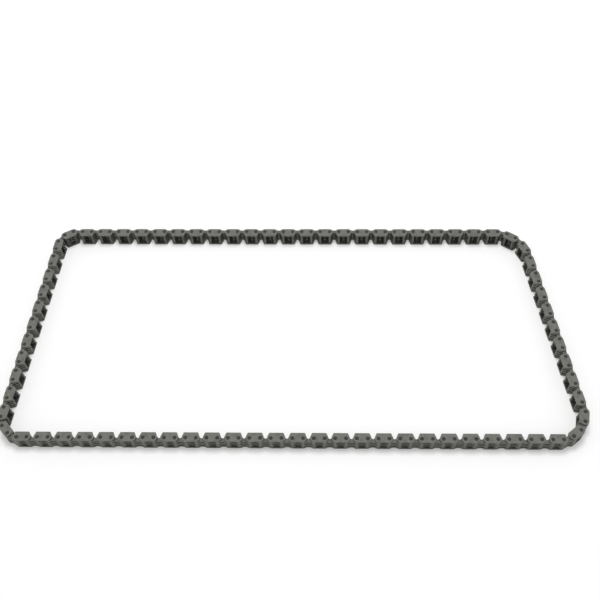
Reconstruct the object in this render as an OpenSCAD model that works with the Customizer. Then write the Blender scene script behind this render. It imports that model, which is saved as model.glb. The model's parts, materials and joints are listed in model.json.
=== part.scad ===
// Silent cam chain lying flat in the four-cornered loop of its engine layout.
// Guide links and inner links take turns round the loop and turn on round pins.
// X runs along the near run, Y points to the far run, Z is up and the pins stand on Z = 0.

/* [Loop] */
// Links in the straight near run
near_links = 51; // [51:2:59]
// Links by which the straight far run is shorter
far_short = 5; // [3:2:5]
// Links in the straight right side
right_links = 19; // [15:2:25]
// Links by which the straight left side is longer
left_more = 2; // [0:2:4]
// Pins that turn the near right corner
near_right_pins = 5; // [3:2:7]
// Pins that turn the far right corner
far_right_pins = 5; // [3:2:7]
// Pins that turn the far left corner
far_left_pins = 3; // [3:2:7]
// Pins that turn the near left corner
near_left_pins = 4; // [4:2:8]
// Tilt of the far run against the near run, in degrees
far_tilt = -0.32; // [-1:0.02:1]

/* [Links] */
// Distance from pin to pin
pitch = 8; // [7.8:0.05:8.4]
// Diameter of a pin
pin_d = 2.4; // [2.2:0.05:2.8]
// Chamfer round the end of a pin
pin_chamfer = 0.2; // [0.1:0.02:0.3]
// Distance that a pin end stands out of its guide plate
pin_proud = 0.12; // [0.06:0.01:0.2]
// Thickness of a guide plate
guide_t = 1.25; // [1:0.05:1.6]
// Thickness of a toothed plate
toothed_t = 1.4; // [1.1:0.05:1.7]
// Gap between neighbouring plates on a pin
layer_gap = 0.05; // [0.03:0.01:0.12]
// Radial clearance of a pin in the plates that turn on it
run_clear = 0.05; // [0.04:0.01:0.1]
// Radial clearance of a pin in the plates that hold it
seat_clear = 0.02; // [0.02:0.01:0.04]
// Radial clearance at the one pivot where the loop is opened
open_clear = 0.15; // [0.12:0.01:0.25]

/* [Guide plates] */
// Height of every plate's back over the pin line
back_h = 2.9; // [2.6:0.05:3.1]
// Depth of a guide plate's foot under the pin line
foot_h = 4.3; // [3.8:0.05:4.5]
// Slant of a guide plate's ends towards the foot, in degrees
guide_slant = 22.5; // [18:0.5:27]
// Corner radius at a guide plate's foot
guide_foot_r = 0.5; // [0.3:0.05:0.8]

/* [Toothed plates] */
// Depth of the tooth tips under the pin line
tip_h = 4.2; // [3.9:0.05:4.5]
// Width of a tooth's flat tip
tip_w = 1.1; // [0.9:0.05:1.4]
// Width of the crotch between a plate's two teeth, at the tips
crotch_w = 6.4; // [6:0.05:6.8]
// Depth of the crotch's floor under the pin line
crotch_floor = 0.15; // [0:0.05:0.4]
// Slant of the tooth flanks, in degrees from the tooth's own direction
flank_angle = 31.5; // [30:0.5:33]
// Width of the arch in the back of a toothed plate
arch_w = 5.2; // [4:0.1:5.6]
// Depth of that arch
arch_h = 1.3; // [0.9:0.05:1.5]

/* [Hidden] */
$fn = 48;
steel_guide = [0.44, 0.44, 0.42];
steel_toothed = [0.38, 0.38, 0.36];
steel_pin = [0.27, 0.27, 0.26];

// Outer layers are guide plates. Between them, odd layers are inner links' toothed plates and even ones are
// guide links' middle plates, of the same outline.
layers = 9;
top_layer = layers - 1;
function layer_z(n) = pin_proud + (n == 0 ? 0 : guide_t + layer_gap + (n - 1) * (toothed_t + layer_gap));
pin_l = layer_z(top_layer) + guide_t + pin_proud;
seat_r = pin_d / 2 + seat_clear;
run_r = pin_d / 2 + run_clear;
open_r = pin_d / 2 + open_clear;

// The loop is a polygon of equal links. The leans of its two sides are solved so that it closes.
runs = [near_links, right_links, near_links - far_short, right_links + left_more];
corner_pins = [near_right_pins, far_right_pins, far_left_pins, near_left_pins];
function turns(lean) = [90 + lean[1], 90 - lean[1] + far_tilt, 90 - lean[0] - far_tilt, 90 + lean[0]];
function before(list, n) = n == 0 ? 0 : list[n - 1] + before(list, n - 1);
function headings(turn) = [
    for (side = [0:3])
        for (k = [1:runs[side] + corner_pins[side] - 1])
            before(turn, side) + turn[side] * max(0, k - runs[side]) / corner_pins[side]
];
function total(list) = list * [for (v = list) 1];
function miss(lean) = let (h = headings(turns(lean)))
    [total([for (a = h) cos(a)]), total([for (a = h) sin(a)])];
function solve_lean(lean, rounds, small = 0.01) = rounds == 0 ? lean :
    let (
        m = miss(lean),
        a = (miss(lean + [small, 0]) - m) / small,
        b = (miss(lean + [0, small]) - m) / small
    )
    solve_lean(lean - [cross(m, b), cross(a, m)] / cross(a, b), rounds - 1);
heading = headings(turns(solve_lean([5, 9], 8)));
links = len(heading);
pin_path = [
    for (i = 0, p = [0, 0]; i < links; p = p + pitch * [cos(heading[i]), sin(heading[i])], i = i + 1) p
];
pin_x = [for (p = pin_path) p[0]];
pin_y = [for (p = pin_path) p[1]];
middle = [max(pin_x) + min(pin_x), max(pin_y) + min(pin_y)] / 2;

// The near and far runs are split into spans, with single links that bend between them
span_links = 10;
bend_pins = 3;
near_lead = 4;
far_lead = 1;
group_links = span_links + 2 * (bend_pins - 1);
far_start = near_links + right_links + near_right_pins + far_right_pins - 2;
near_groups = [for (n = [0:2]) near_lead + n * (group_links + 1)];
far_groups = [for (n = [0:2]) far_start + far_lead + n * (group_links + 1)];
near_end = near_groups[2] + group_links;
far_end = far_groups[2] + group_links;
function span(name, group) = [name, group + bend_pins - 1, group + bend_pins + span_links - 2];
stretches = [
    ["right_side", near_end, far_groups[0] - 1],
    ["left_side", far_end, links + near_lead - 1],
    span("near_left_span", near_groups[0]),
    span("near_middle_span", near_groups[1]),
    span("near_right_span", near_groups[2]),
    span("far_right_span", far_groups[0]),
    span("far_middle_span", far_groups[1]),
    span("far_left_span", far_groups[2])
];
function bends(groups) = [
    for (n = [0:2]) each concat(
        [for (k = [0:bend_pins - 2]) groups[n] + k],
        [for (k = [0:bend_pins - 2]) groups[n] + bend_pins - 1 + span_links + k],
        n < 2 ? [groups[n] + group_links] : []
    )
];
single_links = concat(bends(near_groups), bends(far_groups));
open_pin = far_end;

function is_guide(i) = i % 2 == 0;
function link_name(i) = str(i < near_links ? "near" : "far", is_guide(i) ? "_guide_link_" : "_inner_link_", i);

// Outline with corners listed counter-clockwise as [x, y, radius]. A radius of 0 leaves a corner sharp.
// A corner's circle is larger than its fillet by arc_lap, so that it cuts cleanly into the edges beside it.
arc_lap = 0.001;
function unit(v) = v / norm(v);
function flat(corner) = [corner[0], corner[1]];
function fillet(corners, i) =
    let (
        n = len(corners),
        p = flat(corners[i]),
        r = corners[i][2],
        arrive = unit(p - flat(corners[(i + n - 1) % n])),
        leave = unit(flat(corners[(i + 1) % n]) - p),
        half = acos(arrive * leave) / 2
    )
    [p - arrive * r * tan(half), p + leave * r * tan(half), p + unit(leave - arrive) * r / cos(half), r,
        cross(arrive, leave) > 0];

module rounded(corners) {
    fillets = [for (i = [0:len(corners) - 1]) fillet(corners, i)];
    difference() {
        union() {
            polygon([for (f = fillets) each f[3] > 0 ? [f[0], f[1]] : [f[0]]]);
            for (f = fillets) if (f[3] > 0 && f[4]) translate(f[2]) circle(r = f[3] + arc_lap);
        }
        for (f = fillets) if (f[3] > 0 && !f[4]) translate(f[2]) circle(r = f[3] + arc_lap);
    }
}

function mirrored(half) = concat(half, [for (i = [len(half) - 1:-1:0]) [-half[i][0], half[i][1], half[i][2]]]);

// Guide plate: straight back and foot. Each end is round about its pin and then slants in to the foot.
function guide_end_x(y) = pitch / 2 + (back_h - y * sin(guide_slant)) / cos(guide_slant);
guide_corners = mirrored([
    [guide_end_x(-back_h), -back_h, back_h],
    [guide_end_x(foot_h), foot_h, guide_foot_r]
]);

// Toothed plate: each shoulder is one arc that meets the back and the outer flank, centred beside the pin
tip_in = crotch_w / 2;
tip_out = tip_in + tip_w;
shoulder_x = tip_out + (tip_h + back_h) * tan(flank_angle);
shoulder_r = ((tip_out - pitch / 2) * cos(flank_angle) + (tip_h + back_h) * sin(flank_angle))
    / (1 + sin(flank_angle));
crotch_y = tip_h - tip_in / tan(flank_angle);
crotch_r = (crotch_floor - crotch_y) / (1 / sin(flank_angle) - 1);
tooth = [
    [shoulder_x, -back_h, shoulder_r],
    [tip_out, tip_h, 0],
    [tip_in, tip_h, 0]
];
toothed_corners = concat(
    tooth,
    [[0, crotch_y, crotch_r]],
    [for (i = [2:-1:0]) [-tooth[i][0], tooth[i][1], tooth[i][2]]]
);
arch_r = (pow(arch_w / 2, 2) + pow(arch_h, 2)) / (2 * arch_h);

module holes(start_r, end_r) {
    translate([-pitch / 2, 0]) circle(r = start_r);
    translate([pitch / 2, 0]) circle(r = end_r);
}

module toothed_plate(start_r, end_r) {
    linear_extrude(toothed_t)
        difference() {
            rounded(toothed_corners);
            translate([0, arch_h - back_h - arch_r]) circle(r = arch_r);
            holes(start_r, end_r);
        }
}

module at_link(i) {
    k = i % links;
    translate([pin_path[k][0] - middle[0], pin_path[k][1] - middle[1], 0])
        rotate([0, 0, heading[k]])
            translate([pitch / 2, 0, 0])
                children();
}

module guide_plates(first, last) {
    color(steel_guide)
        for (i = [first:last]) if (is_guide(i)) at_link(i)
            for (layer = [0, top_layer]) translate([0, 0, layer_z(layer)])
                linear_extrude(guide_t)
                    difference() {
                        rounded(guide_corners);
                        holes(seat_r, seat_r);
                    }
}

module middle_plates(first, last) {
    color(steel_toothed)
        for (i = [first:last]) if (is_guide(i)) at_link(i)
            for (layer = [2:2:top_layer - 2]) translate([0, 0, layer_z(layer)])
                toothed_plate(seat_r, seat_r);
}

module inner_plates(first, last) {
    color(steel_toothed)
        for (i = [first:last]) if (!is_guide(i)) at_link(i)
            for (layer = [1:2:top_layer - 1]) translate([0, 0, layer_z(layer)])
                toothed_plate(i == open_pin ? open_r : run_r, run_r);
}

module pins(first, last) {
    color(steel_pin)
        for (i = [first:last]) if (is_guide(i)) at_link(i)
            for (side = [-1, 1]) translate([side * pitch / 2, 0, 0])
                rotate_extrude()
                    polygon([
                        [0, 0],
                        [pin_d / 2 - pin_chamfer, 0],
                        [pin_d / 2, pin_chamfer / 2],
                        [pin_d / 2, pin_l - pin_chamfer / 2],
                        [pin_d / 2 - pin_chamfer, pin_l],
                        [0, pin_l]
                    ]);
}

module single_link(i) {
    guide_plates(i, i);
    middle_plates(i, i);
    inner_plates(i, i);
    pins(i, i);
}

for (s = stretches) {
    guide_plates(s[1], s[2]);
    middle_plates(s[1], s[2]);
    inner_plates(s[1], s[2]);
    pins(s[1], s[2]);
}
for (i = single_links) {
    single_link(i);
}
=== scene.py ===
import json
import math

import bpy
from mathutils import Matrix, Vector


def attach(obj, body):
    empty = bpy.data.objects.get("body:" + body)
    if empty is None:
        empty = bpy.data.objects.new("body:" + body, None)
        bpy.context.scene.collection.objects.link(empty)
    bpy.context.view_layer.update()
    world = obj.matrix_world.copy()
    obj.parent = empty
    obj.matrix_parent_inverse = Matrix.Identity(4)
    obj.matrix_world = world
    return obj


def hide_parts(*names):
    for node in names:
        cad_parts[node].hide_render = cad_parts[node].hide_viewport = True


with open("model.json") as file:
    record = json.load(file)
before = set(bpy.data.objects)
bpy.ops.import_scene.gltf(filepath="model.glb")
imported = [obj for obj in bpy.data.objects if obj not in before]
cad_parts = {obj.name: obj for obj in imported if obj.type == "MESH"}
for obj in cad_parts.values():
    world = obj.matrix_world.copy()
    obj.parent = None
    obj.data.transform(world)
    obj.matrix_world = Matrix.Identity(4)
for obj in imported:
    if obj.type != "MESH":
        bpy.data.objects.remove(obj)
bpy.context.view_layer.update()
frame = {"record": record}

# Sizes of the links, in metres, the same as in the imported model
MM = 0.001
PITCH = 8 * MM
PIN_D = 2.4 * MM
PIN_PROUD = 0.12 * MM
GUIDE_T = 1.25 * MM
TOOTHED_T = 1.4 * MM
LAYER_GAP = 0.05 * MM
LAYERS = 9
BACK_H = 2.9 * MM
FOOT_H = 4.3 * MM
GUIDE_SLANT = math.radians(22.5)
GUIDE_FOOT_R = 0.5 * MM
TIP_H = 4.2 * MM
TIP_W = 1.1 * MM
CROTCH_W = 6.4 * MM
CROTCH_FLOOR = 0.15 * MM
FLANK_ANGLE = math.radians(31.5)
ARCH_W = 5.2 * MM
ARCH_H = 1.3 * MM
# The inner links' backs are hollowed less, as the photograph's nearly straight rim shows
INNER_ARCH_H = 0.5 * MM
# Rounding of a plate's rim, left by the press and the tumbling barrel
RIM = 0.1 * MM
# Riveted pin heads, which spread over the guide plates and are dished in the middle
HEAD_D = 3.1 * MM
HEAD_EDGE = 0.25 * MM
HEAD_DISH = 0.08 * MM
# Flat pieces that round forms are drawn with: few, since each plate is there hundreds of times
PIN_SIDES = 12
GUIDE_END_STEPS = 7
GUIDE_FOOT_STEPS = 2
SHOULDER_STEPS = 6
CROTCH_STEPS = 2
ARCH_STEPS = 3
# Edges sharper than the first angle are rounded, and those blunter than the second shaded smooth
SHARP_EDGE = math.radians(60)
SMOOTH_EDGE = math.radians(35)

# The loop: links in each straight run and pins round each corner, from the near left corner on
RUNS = (51, 19, 46, 21)
CORNER_PINS = (5, 5, 3, 4)
FAR_TILT = math.radians(-0.32)
FIRST_LEAN = (math.radians(5), math.radians(9))

# Photograph: the camera's place over pin 0, its angles and its focal length, for a 600 pixel frame
PHOTO_SIZE = 600
SENSOR = 36
FOCAL_PX = 860
CAMERA_PLACE = (237.6 * MM, -264 * MM, 603 * MM)
CAMERA_DOWN = math.radians(56.71)
CAMERA_YAW = math.radians(3.88)
CAMERA_ROLL = math.radians(-3.3)

# Steel: scales of the oil's blotches and of the grain, per metre, and the grain's height
BLOTCH_SCALE = 260
GRAIN_SCALE = 2600
GRAIN_H = 0.02 * MM
STEEL_SPECULAR = 0.4

# Stage: the floor's size, colour and glow to the camera, the world's strength, and the lamp
FLOOR_SIZE = 6
FLOOR_COLOUR = (0.8, 0.8, 0.8, 1)
FLOOR_ROUGHNESS = 0.9
FLOOR_SPECULAR = 0.1
GLOW_COLOUR = (1, 1, 0.995, 1)
GLOW = 0.26
WORLD_LIGHT = 0.5
WORLD_SEEN = 1
LAMP_PLACE = (0, 0.25, 1.4)
LAMP_SIZE = 0.5
LAMP_POWER = 10.5


def corner_turns(lean):
    left, right = lean
    quarter = math.pi / 2
    return (
        quarter + right,
        quarter - right + FAR_TILT,
        quarter - left - FAR_TILT,
        quarter + left,
    )


def headings(lean):
    """Direction of every link, counter-clockwise round the loop."""
    found, start = [], 0.0
    for links, pins, turn in zip(RUNS, CORNER_PINS, corner_turns(lean)):
        found += [start] * links
        found += [start + turn * k / pins for k in range(1, pins)]
        start += turn
    return found


def miss(lean):
    """How far the loop is from closing, in pitches."""
    found = headings(lean)
    return Vector((sum(math.cos(a) for a in found), sum(math.sin(a) for a in found)))


def closing_lean(rounds=8, step=1e-5):
    """Leans of the left and right sides with which the loop closes."""
    left, right = FIRST_LEAN
    for _ in range(rounds):
        gap = miss((left, right))
        by_left = (miss((left + step, right)) - gap) / step
        by_right = (miss((left, right + step)) - gap) / step
        area = by_left.cross(by_right)
        left, right = left - gap.cross(by_right) / area, right - by_left.cross(gap) / area
    return left, right


HEADING = headings(closing_lean())
LINKS = len(HEADING)


def pin_line():
    """Every pin's place, with the loop's middle at the origin, and that middle from pin 0."""
    places, at = [], Vector((0, 0))
    for a in HEADING:
        places.append(at.copy())
        at += PITCH * Vector((math.cos(a), math.sin(a)))
    middle = Vector([(max(p[i] for p in places) + min(p[i] for p in places)) / 2 for i in (0, 1)])
    return [p - middle for p in places], middle


PINS, MIDDLE = pin_line()


def layer_z(n):
    """Height at which layer n's plates start: a guide plate, toothed plates, a guide plate."""
    inside = GUIDE_T + LAYER_GAP + (n - 1) * (TOOTHED_T + LAYER_GAP)
    return PIN_PROUD + (0 if n == 0 else inside)


PIN_L = layer_z(LAYERS - 1) + GUIDE_T + PIN_PROUD


def deselect():
    bpy.ops.object.select_all(action="DESELECT")


def begin(name, x, y):
    """A new object in edit mode with one selected vertex, from which an outline is drawn."""
    deselect()
    bpy.ops.mesh.primitive_plane_add(size=PITCH, location=(0, 0, 0))
    made = bpy.context.object
    made.name = name
    bpy.ops.object.mode_set(mode="EDIT")
    bpy.ops.mesh.select_mode(type="VERT")
    bpy.ops.mesh.select_all(action="SELECT")
    bpy.ops.mesh.merge(type="CENTER")
    bpy.ops.transform.translate(value=(x, y, 0))
    return made


def pen():
    """Where the selected vertex is."""
    bpy.context.object.update_from_editmode()
    return next(v.co.copy() for v in bpy.context.object.data.vertices if v.select)


def line_to(x, y):
    step = Vector((x, y, 0)) - pen()
    bpy.ops.mesh.extrude_region_move(TRANSFORM_OT_translate={"value": step})


def arc_to(x, y, degrees, steps):
    """An arc from the pen to a point, turning by so many degrees, counter-clockwise if positive."""
    start, end = pen(), Vector((x, y, 0))
    half = math.radians(degrees) / 2
    across = (end - start) / 2
    centre = (start + end) / 2 + Vector((-across.y, across.x, 0)) / math.tan(half)
    # The spin operator turns clockwise about an axis that points at the viewer
    bpy.ops.mesh.spin(steps=steps, angle=-math.radians(degrees), center=centre, axis=(0, 0, 1))


def add_modifier(made, kind, **values):
    """Adds a modifier of that kind and applies it."""
    bpy.context.view_layer.objects.active = made
    modifier = made.modifiers.new(kind.title(), kind)
    for key, value in values.items():
        setattr(modifier, key, value)
    bpy.ops.object.modifier_apply(modifier=modifier.name)


def plate(made, thickness):
    """Mirrors the drawn half outline, fills it and gives it its thickness and a soft rim."""
    bpy.ops.object.mode_set(mode="OBJECT")
    add_modifier(made, "MIRROR", use_axis=(True, False, False), merge_threshold=RIM / 10)
    bpy.ops.object.mode_set(mode="EDIT")
    bpy.ops.mesh.select_all(action="SELECT")
    bpy.ops.mesh.edge_face_add()
    bpy.ops.mesh.extrude_region_move(TRANSFORM_OT_translate={"value": (0, 0, thickness)})
    bpy.ops.mesh.select_all(action="SELECT")
    bpy.ops.mesh.normals_make_consistent(inside=False)
    bpy.ops.object.mode_set(mode="OBJECT")
    add_modifier(made, "BEVEL", width=RIM, segments=1, limit_method="ANGLE", angle_limit=SHARP_EDGE)
    bpy.ops.object.shade_smooth_by_angle(angle=SMOOTH_EDGE)


def corner_ends(x, y, r, turn, arrive):
    """Start and end of a fillet of radius r at a corner, where the outline arrives at that angle."""
    reach = r * math.tan(turn / 2)
    start = (x - reach * math.cos(arrive), y - reach * math.sin(arrive))
    end = (x + reach * math.cos(arrive + turn), y + reach * math.sin(arrive + turn))
    return start, end


def guide_plate():
    """Plate with a straight back and foot. Each end is round about its pin, then slants inwards."""
    up = math.pi / 2
    made = begin("guide_plate", 0, -BACK_H)
    # Each corner's height, radius, turn, angle of arrival and steps
    corners = (
        (-BACK_H, BACK_H, up + GUIDE_SLANT, 0, GUIDE_END_STEPS),
        (FOOT_H, GUIDE_FOOT_R, up - GUIDE_SLANT, up + GUIDE_SLANT, GUIDE_FOOT_STEPS),
    )
    for y, r, turn, arrive, steps in corners:
        x = PITCH / 2 + (BACK_H - y * math.sin(GUIDE_SLANT)) / math.cos(GUIDE_SLANT)
        start, end = corner_ends(x, y, r, turn, arrive)
        line_to(*start)
        arc_to(*end, math.degrees(turn), steps)
    line_to(0, FOOT_H)
    plate(made, GUIDE_T)
    return made


def toothed_plate(name, arch_h):
    """Plate with two teeth and an arched back. A shoulder is one arc from back to outer flank."""
    tip_in = CROTCH_W / 2
    tip_out = tip_in + TIP_W
    flank = math.degrees(FLANK_ANGLE)
    sine, cosine = math.sin(FLANK_ANGLE), math.cos(FLANK_ANGLE)
    shoulder_r = ((tip_out - PITCH / 2) * cosine + (TIP_H + BACK_H) * sine) / (1 + sine)
    crotch_y = TIP_H - tip_in / math.tan(FLANK_ANGLE)
    crotch_r = (CROTCH_FLOOR - crotch_y) / (1 / sine - 1)
    crotch_middle = crotch_y + crotch_r / sine
    arch_r = ((ARCH_W / 2) ** 2 + arch_h ** 2) / (2 * arch_h)
    arch_half = math.degrees(math.asin(ARCH_W / 2 / arch_r))
    made = begin(name, 0, arch_h - BACK_H)
    arc_to(ARCH_W / 2, -BACK_H, -arch_half, ARCH_STEPS)
    line_to(PITCH / 2, -BACK_H)
    shoulder_end = (PITCH / 2 + shoulder_r * cosine, shoulder_r * (1 + sine) - BACK_H)
    arc_to(*shoulder_end, 90 + flank, SHOULDER_STEPS)
    line_to(tip_out, TIP_H)
    line_to(tip_in, TIP_H)
    line_to(crotch_r * cosine, crotch_middle - crotch_r * sine)
    arc_to(0, CROTCH_FLOOR, flank - 90, CROTCH_STEPS)
    plate(made, TOOTHED_T)
    return made


def mark_crotch(made):
    """Gives the upright faces between a plate's teeth its second material, a near-black painted
    shade for that shadowed hollow.
    """
    for face in made.data.polygons:
        between_teeth = abs(face.center.x) < CROTCH_W / 2 and face.center.y > 0
        upright = abs(face.normal.z) < 0.5
        face.material_index = 1 if between_teeth and upright else 0


def select_cap(made, height):
    """Leaves the object in edit mode with only its flat end at that height selected."""
    # A new cylinder is selected as a whole in edit mode, so it is deselected there first
    bpy.ops.object.mode_set(mode="EDIT")
    bpy.ops.mesh.select_mode(type="FACE")
    bpy.ops.mesh.select_all(action="DESELECT")
    bpy.ops.object.mode_set(mode="OBJECT")
    for face in made.data.polygons:
        level = abs(face.normal.z) > 0.9
        face.select = level and abs(face.center.z - height) < PIN_PROUD / 4
    bpy.ops.object.mode_set(mode="EDIT")


def ring(scale, rise):
    """Extrudes the selected face into a ring, by a change of width and of height."""
    bpy.ops.mesh.extrude_region_move(TRANSFORM_OT_translate={"value": (0, 0, rise)})
    bpy.ops.transform.resize(value=(scale, scale, 1))


def pin():
    """Pin between the outer faces of the guide plates, with a low riveted head at each end."""
    deselect()
    bpy.ops.mesh.primitive_cylinder_add(
        vertices=PIN_SIDES,
        radius=PIN_D / 2,
        depth=PIN_L - 2 * PIN_PROUD,
        location=(0, 0, PIN_L / 2),
    )
    made = bpy.context.object
    made.name = "pin"
    bpy.ops.object.transform_apply(location=True)
    for end, outward in ((PIN_PROUD, -1), (PIN_L - PIN_PROUD, 1)):
        select_cap(made, end)
        ring(HEAD_D / PIN_D, 0)
        ring((HEAD_D - HEAD_EDGE) / HEAD_D, outward * PIN_PROUD)
        ring(PIN_D / 2 / (HEAD_D - HEAD_EDGE), -outward * HEAD_DISH)
        bpy.ops.object.mode_set(mode="OBJECT")
    bpy.ops.object.shade_smooth_by_angle(angle=SMOOTH_EDGE)
    return made


def place(i, x, z):
    """Matrix that puts a piece drawn about a link's middle on link i, x along the link, z up."""
    k = i % LINKS
    turn = Matrix.Rotation(HEADING[k], 4, "Z")
    return Matrix.Translation((*PINS[k], z)) @ turn @ Matrix.Translation((PITCH / 2 + x, 0, 0))


def guide_links(first, last):
    return [i for i in range(first, last + 1) if i % 2 == 0]


def inner_links(first, last):
    return [i for i in range(first, last + 1) if i % 2 == 1]


def guide_places(first, last):
    return [place(i, 0, layer_z(n)) for i in guide_links(first, last) for n in (0, LAYERS - 1)]


def middle_places(first, last):
    layers = range(2, LAYERS - 2, 2)
    return [place(i, 0, layer_z(n)) for i in guide_links(first, last) for n in layers]


def inner_places(first, last):
    layers = range(1, LAYERS - 1, 2)
    return [place(i, 0, layer_z(n)) for i in inner_links(first, last) for n in layers]


def pin_places(first, last):
    return [place(i, x, 0) for i in guide_links(first, last) for x in (-PITCH / 2, PITCH / 2)]


def copies(model, places, materials):
    """Copies of a model, each with its own mesh, at the given places."""
    made = []
    for where in places:
        one = model.copy()
        one.data = model.data.copy()
        one.data.transform(where)
        for material in materials:
            one.data.materials.append(material)
        bpy.context.scene.collection.objects.link(one)
        made.append(one)
    return made


def joined(name, pieces, body, node):
    """One piece of several copies, which rides on its body and stands for a node."""
    deselect()
    for one in pieces:
        one.select_set(True)
    bpy.context.view_layer.objects.active = pieces[0]
    if len(pieces) > 1:
        bpy.ops.object.join()
    piece = bpy.context.object
    piece.name = name
    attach(piece, body)
    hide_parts(node)
    return piece


def oiled_steel_group():
    """Colour, roughness and height of hardened steel under a thin uneven film of oil, with painted
    shade on upright faces.
    """
    group = bpy.data.node_groups.new("oiled_steel", "ShaderNodeTree")
    for name, kind in (
        ("Face", "NodeSocketColor"),
        ("Side Shade", "NodeSocketColor"),
        ("Stain", "NodeSocketColor"),
        ("Base Roughness", "NodeSocketFloat"),
    ):
        group.interface.new_socket(name=name, in_out="INPUT", socket_type=kind)
    for name, kind in (
        ("Color", "NodeSocketColor"),
        ("Roughness", "NodeSocketFloat"),
        ("Height", "NodeSocketFloat"),
    ):
        group.interface.new_socket(name=name, in_out="OUTPUT", socket_type=kind)
    nodes, links = group.nodes, group.links
    start = nodes.new("NodeGroupInput")
    end = nodes.new("NodeGroupOutput")
    place_in = nodes.new("ShaderNodeTexCoord")

    def noise(scale, detail):
        made = nodes.new("ShaderNodeTexNoise")
        made.inputs["Scale"].default_value = scale
        made.inputs["Detail"].default_value = detail
        links.new(place_in.outputs["Object"], made.inputs["Vector"])
        return made.outputs["Fac"]

    def between(value, low, high, to_low, to_high):
        made = nodes.new("ShaderNodeMapRange")
        made.inputs["From Min"].default_value = low
        made.inputs["From Max"].default_value = high
        made.inputs["To Min"].default_value = to_low
        made.inputs["To Max"].default_value = to_high
        links.new(value, made.inputs["Value"])
        return made.outputs["Result"]

    def mixed(factor, a, b):
        made = nodes.new("ShaderNodeMix")
        made.data_type = "RGBA"
        links.new(factor, made.inputs["Factor"])
        links.new(a, made.inputs["A"])
        links.new(b, made.inputs["B"])
        return made.outputs["Result"]

    # Painted shade: flat faces are brighter than upright faces, which face sideways and get less of
    # the light from above
    split = nodes.new("ShaderNodeSeparateXYZ")
    links.new(place_in.outputs["Normal"], split.inputs["Vector"])
    upright = nodes.new("ShaderNodeMath")
    upright.operation = "ABSOLUTE"
    links.new(split.outputs["Z"], upright.inputs[0])
    painted_light_mask = between(upright.outputs["Value"], 0.2, 0.9, 0, 1)
    colour = mixed(painted_light_mask, start.outputs["Side Shade"], start.outputs["Face"])

    blotch = noise(BLOTCH_SCALE, 3)
    stain_mask = between(blotch, 0.48, 0.72, 0, 0.55)
    colour = mixed(stain_mask, colour, start.outputs["Stain"])
    rough = between(blotch, 0.3, 0.7, -0.06, 0.08)
    total = nodes.new("ShaderNodeMath")
    total.operation = "ADD"
    links.new(start.outputs["Base Roughness"], total.inputs[0])
    links.new(rough, total.inputs[1])
    links.new(colour, end.inputs["Color"])
    links.new(total.outputs["Value"], end.inputs["Roughness"])
    links.new(noise(GRAIN_SCALE, 4), end.inputs["Height"])
    return group


OILED_STEEL = oiled_steel_group()


def steel(name, face, side_shade, stain, roughness, metallic, bump):
    """Steel with its colours on flat faces, on upright faces as painted shade and in the oil's
    blotches.
    """
    made = bpy.data.materials.new(name)
    made.use_nodes = True
    nodes, links = made.node_tree.nodes, made.node_tree.links
    shader = nodes["Principled BSDF"]
    shader.inputs["Metallic"].default_value = metallic
    shader.inputs["Specular IOR Level"].default_value = STEEL_SPECULAR
    film = nodes.new("ShaderNodeGroup")
    film.node_tree = OILED_STEEL
    for key, value in (("Face", face), ("Side Shade", side_shade), ("Stain", stain)):
        film.inputs[key].default_value = (*value, 1)
    film.inputs["Base Roughness"].default_value = roughness
    height = nodes.new("ShaderNodeBump")
    height.inputs["Strength"].default_value = bump
    height.inputs["Distance"].default_value = GRAIN_H
    links.new(film.outputs["Color"], shader.inputs["Base Color"])
    links.new(film.outputs["Roughness"], shader.inputs["Roughness"])
    links.new(film.outputs["Height"], height.inputs["Height"])
    links.new(height.outputs["Normal"], shader.inputs["Normal"])
    return made


# The second colour of each steel is painted shade, which its upright faces are given
GUIDE_STEEL = steel(
    "guide_steel",
    face=(0.19, 0.19, 0.173), side_shade=(0.15, 0.15, 0.138), stain=(0.11, 0.11, 0.1),
    roughness=0.42, metallic=0.8, bump=0.4,
)
TOOTHED_STEEL = steel(
    "toothed_steel",
    face=(0.16, 0.16, 0.15), side_shade=(0.15, 0.15, 0.135), stain=(0.07, 0.07, 0.06),
    roughness=0.4, metallic=0.8, bump=0.4,
)
# Painted shade: near-black steel for the shadowed faces between the teeth
CROTCH_SHADE_STEEL = steel(
    "painted_crotch_shade",
    face=(0.04, 0.04, 0.038), side_shade=(0.03, 0.03, 0.028), stain=(0.02, 0.02, 0.018),
    roughness=0.5, metallic=0.6, bump=0.5,
)
PIN_STEEL = steel(
    "pin_steel",
    face=(0.057, 0.057, 0.053), side_shade=(0.05, 0.05, 0.046), stain=(0.035, 0.035, 0.032),
    roughness=0.4, metallic=0.8, bump=0.3,
)

GUIDE_PLATE = guide_plate()
MIDDLE_PLATE = toothed_plate("middle_plate", ARCH_H)
mark_crotch(MIDDLE_PLATE)
INNER_PLATE = toothed_plate("inner_plate", INNER_ARCH_H)
PIN = pin()

KINDS = {
    "guide_plates": (GUIDE_PLATE, guide_places, (GUIDE_STEEL,)),
    "middle_plates": (MIDDLE_PLATE, middle_places, (TOOTHED_STEEL, CROTCH_SHADE_STEEL)),
    "inner_plates": (INNER_PLATE, inner_places, (TOOTHED_STEEL,)),
    "pins": (PIN, pin_places, (PIN_STEEL,)),
}

# Rigid stretches of the chain, by their first and last link
STRETCHES = {
    "right_side": (48, 78),
    "left_side": (123, 153),
    "near_left_span": (6, 15),
    "near_middle_span": (21, 30),
    "near_right_span": (36, 45),
    "far_right_span": (81, 90),
    "far_middle_span": (96, 105),
    "far_left_span": (111, 120),
}
SLOTS = {entry["node"]: entry["material_slot"] for entry in frame["record"]["subparts"]}

for body, (first, last) in STRETCHES.items():
    for kind, (model, places, materials) in KINDS.items():
        node = f"{body}_{kind}"
        pieces = copies(model, places(first, last), materials)
        joined(f"{node}_finished", pieces, body, node)

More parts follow.
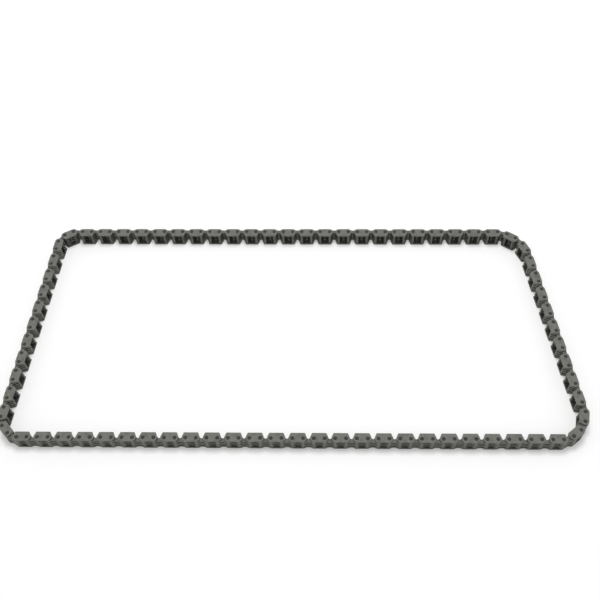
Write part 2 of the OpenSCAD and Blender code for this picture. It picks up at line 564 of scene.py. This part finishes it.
# Single links, whose nodes are named after their place round the loop
for node in SLOTS:
    if "_link_" in node:
        number = int(node.rsplit("_", 1)[1])
        pieces = []
        for model, places, materials in KINDS.values():
            pieces += copies(model, places(number, number), materials)
        joined(f"{node}_finished", pieces, node, node)

for model in (GUIDE_PLATE, MIDDLE_PLATE, INNER_PLATE, PIN):
    bpy.data.objects.remove(model)


def seen_factor(nodes, links):
    """1 for rays from the camera, a reflection or a transmission, otherwise 0."""
    path = nodes.new("ShaderNodeLightPath")
    total = path.outputs["Is Camera Ray"]
    for name in ("Is Glossy Ray", "Is Transmission Ray"):
        larger = nodes.new("ShaderNodeMath")
        larger.operation = "MAXIMUM"
        links.new(total, larger.inputs[0])
        links.new(path.outputs[name], larger.inputs[1])
        total = larger.outputs["Value"]
    return total


def floor_paper():
    """Pale matt paper that glows a little to the camera and in reflections, so it looks white."""
    made = bpy.data.materials.new("floor_paper")
    made.use_nodes = True
    nodes, links = made.node_tree.nodes, made.node_tree.links
    paper = nodes["Principled BSDF"]
    paper.inputs["Base Color"].default_value = FLOOR_COLOUR
    paper.inputs["Roughness"].default_value = FLOOR_ROUGHNESS
    paper.inputs["Specular IOR Level"].default_value = FLOOR_SPECULAR
    paper.inputs["Emission Color"].default_value = GLOW_COLOUR
    glow = nodes.new("ShaderNodeMath")
    glow.operation = "MULTIPLY"
    glow.inputs[1].default_value = GLOW
    links.new(seen_factor(nodes, links), glow.inputs[0])
    links.new(glow.outputs["Value"], paper.inputs["Emission Strength"])
    return made


def pale_floor():
    deselect()
    bpy.ops.mesh.primitive_plane_add(size=FLOOR_SIZE, location=(0, 0, 0))
    floor = bpy.context.object
    floor.name = "floor"
    floor.data.materials.append(floor_paper())


def white_world():
    """A world that is white to the camera and in reflections, and lights the part less."""
    world = bpy.context.scene.world or bpy.data.worlds.new("studio")
    bpy.context.scene.world = world
    world.use_nodes = True
    nodes, links = world.node_tree.nodes, world.node_tree.links
    sky = nodes["Background"]
    sky.inputs["Color"].default_value = (1, 1, 1, 1)
    strength = nodes.new("ShaderNodeMapRange")
    strength.inputs["To Min"].default_value = WORLD_LIGHT
    strength.inputs["To Max"].default_value = WORLD_SEEN
    links.new(seen_factor(nodes, links), strength.inputs["Value"])
    links.new(strength.outputs["Result"], sky.inputs["Strength"])


def softbox(name, position, size, power):
    """Square lamp that points at the middle of the loop and isn't seen in reflections."""
    data = bpy.data.lights.new(name, "AREA")
    data.size = size
    data.energy = power
    made = bpy.data.objects.new(name, data)
    made.location = position
    made.rotation_euler = (-Vector(position)).to_track_quat("-Z", "Y").to_euler()
    made.visible_glossy = False
    bpy.context.scene.collection.objects.link(made)


def photo_camera():
    """Camera that looks down over the near run, turned and rolled a little as in the photograph."""
    data = bpy.data.cameras.new("camera")
    data.sensor_width = SENSOR
    data.lens = FOCAL_PX / PHOTO_SIZE * SENSOR
    camera = bpy.data.objects.new("camera", data)
    bpy.context.scene.collection.objects.link(camera)
    bpy.context.scene.camera = camera
    level = Vector((math.cos(CAMERA_YAW), math.sin(CAMERA_YAW), 0))
    ahead = Vector((-math.sin(CAMERA_YAW), math.cos(CAMERA_YAW), 0))
    forward = ahead * math.cos(CAMERA_DOWN) - Vector((0, 0, math.sin(CAMERA_DOWN)))
    above = ahead * math.sin(CAMERA_DOWN) + Vector((0, 0, math.cos(CAMERA_DOWN)))
    right = level * math.cos(CAMERA_ROLL) + above * math.sin(CAMERA_ROLL)
    up = above * math.cos(CAMERA_ROLL) - level * math.sin(CAMERA_ROLL)
    axes = Matrix((right, up, -forward)).transposed().to_4x4()
    camera.matrix_world = Matrix.Translation(Vector(CAMERA_PLACE) - Vector((*MIDDLE, 0))) @ axes


pale_floor()
white_world()
softbox("overhead_softbox", LAMP_PLACE, LAMP_SIZE, LAMP_POWER)
photo_camera()
bpy.context.scene.view_settings.view_transform = "Standard"
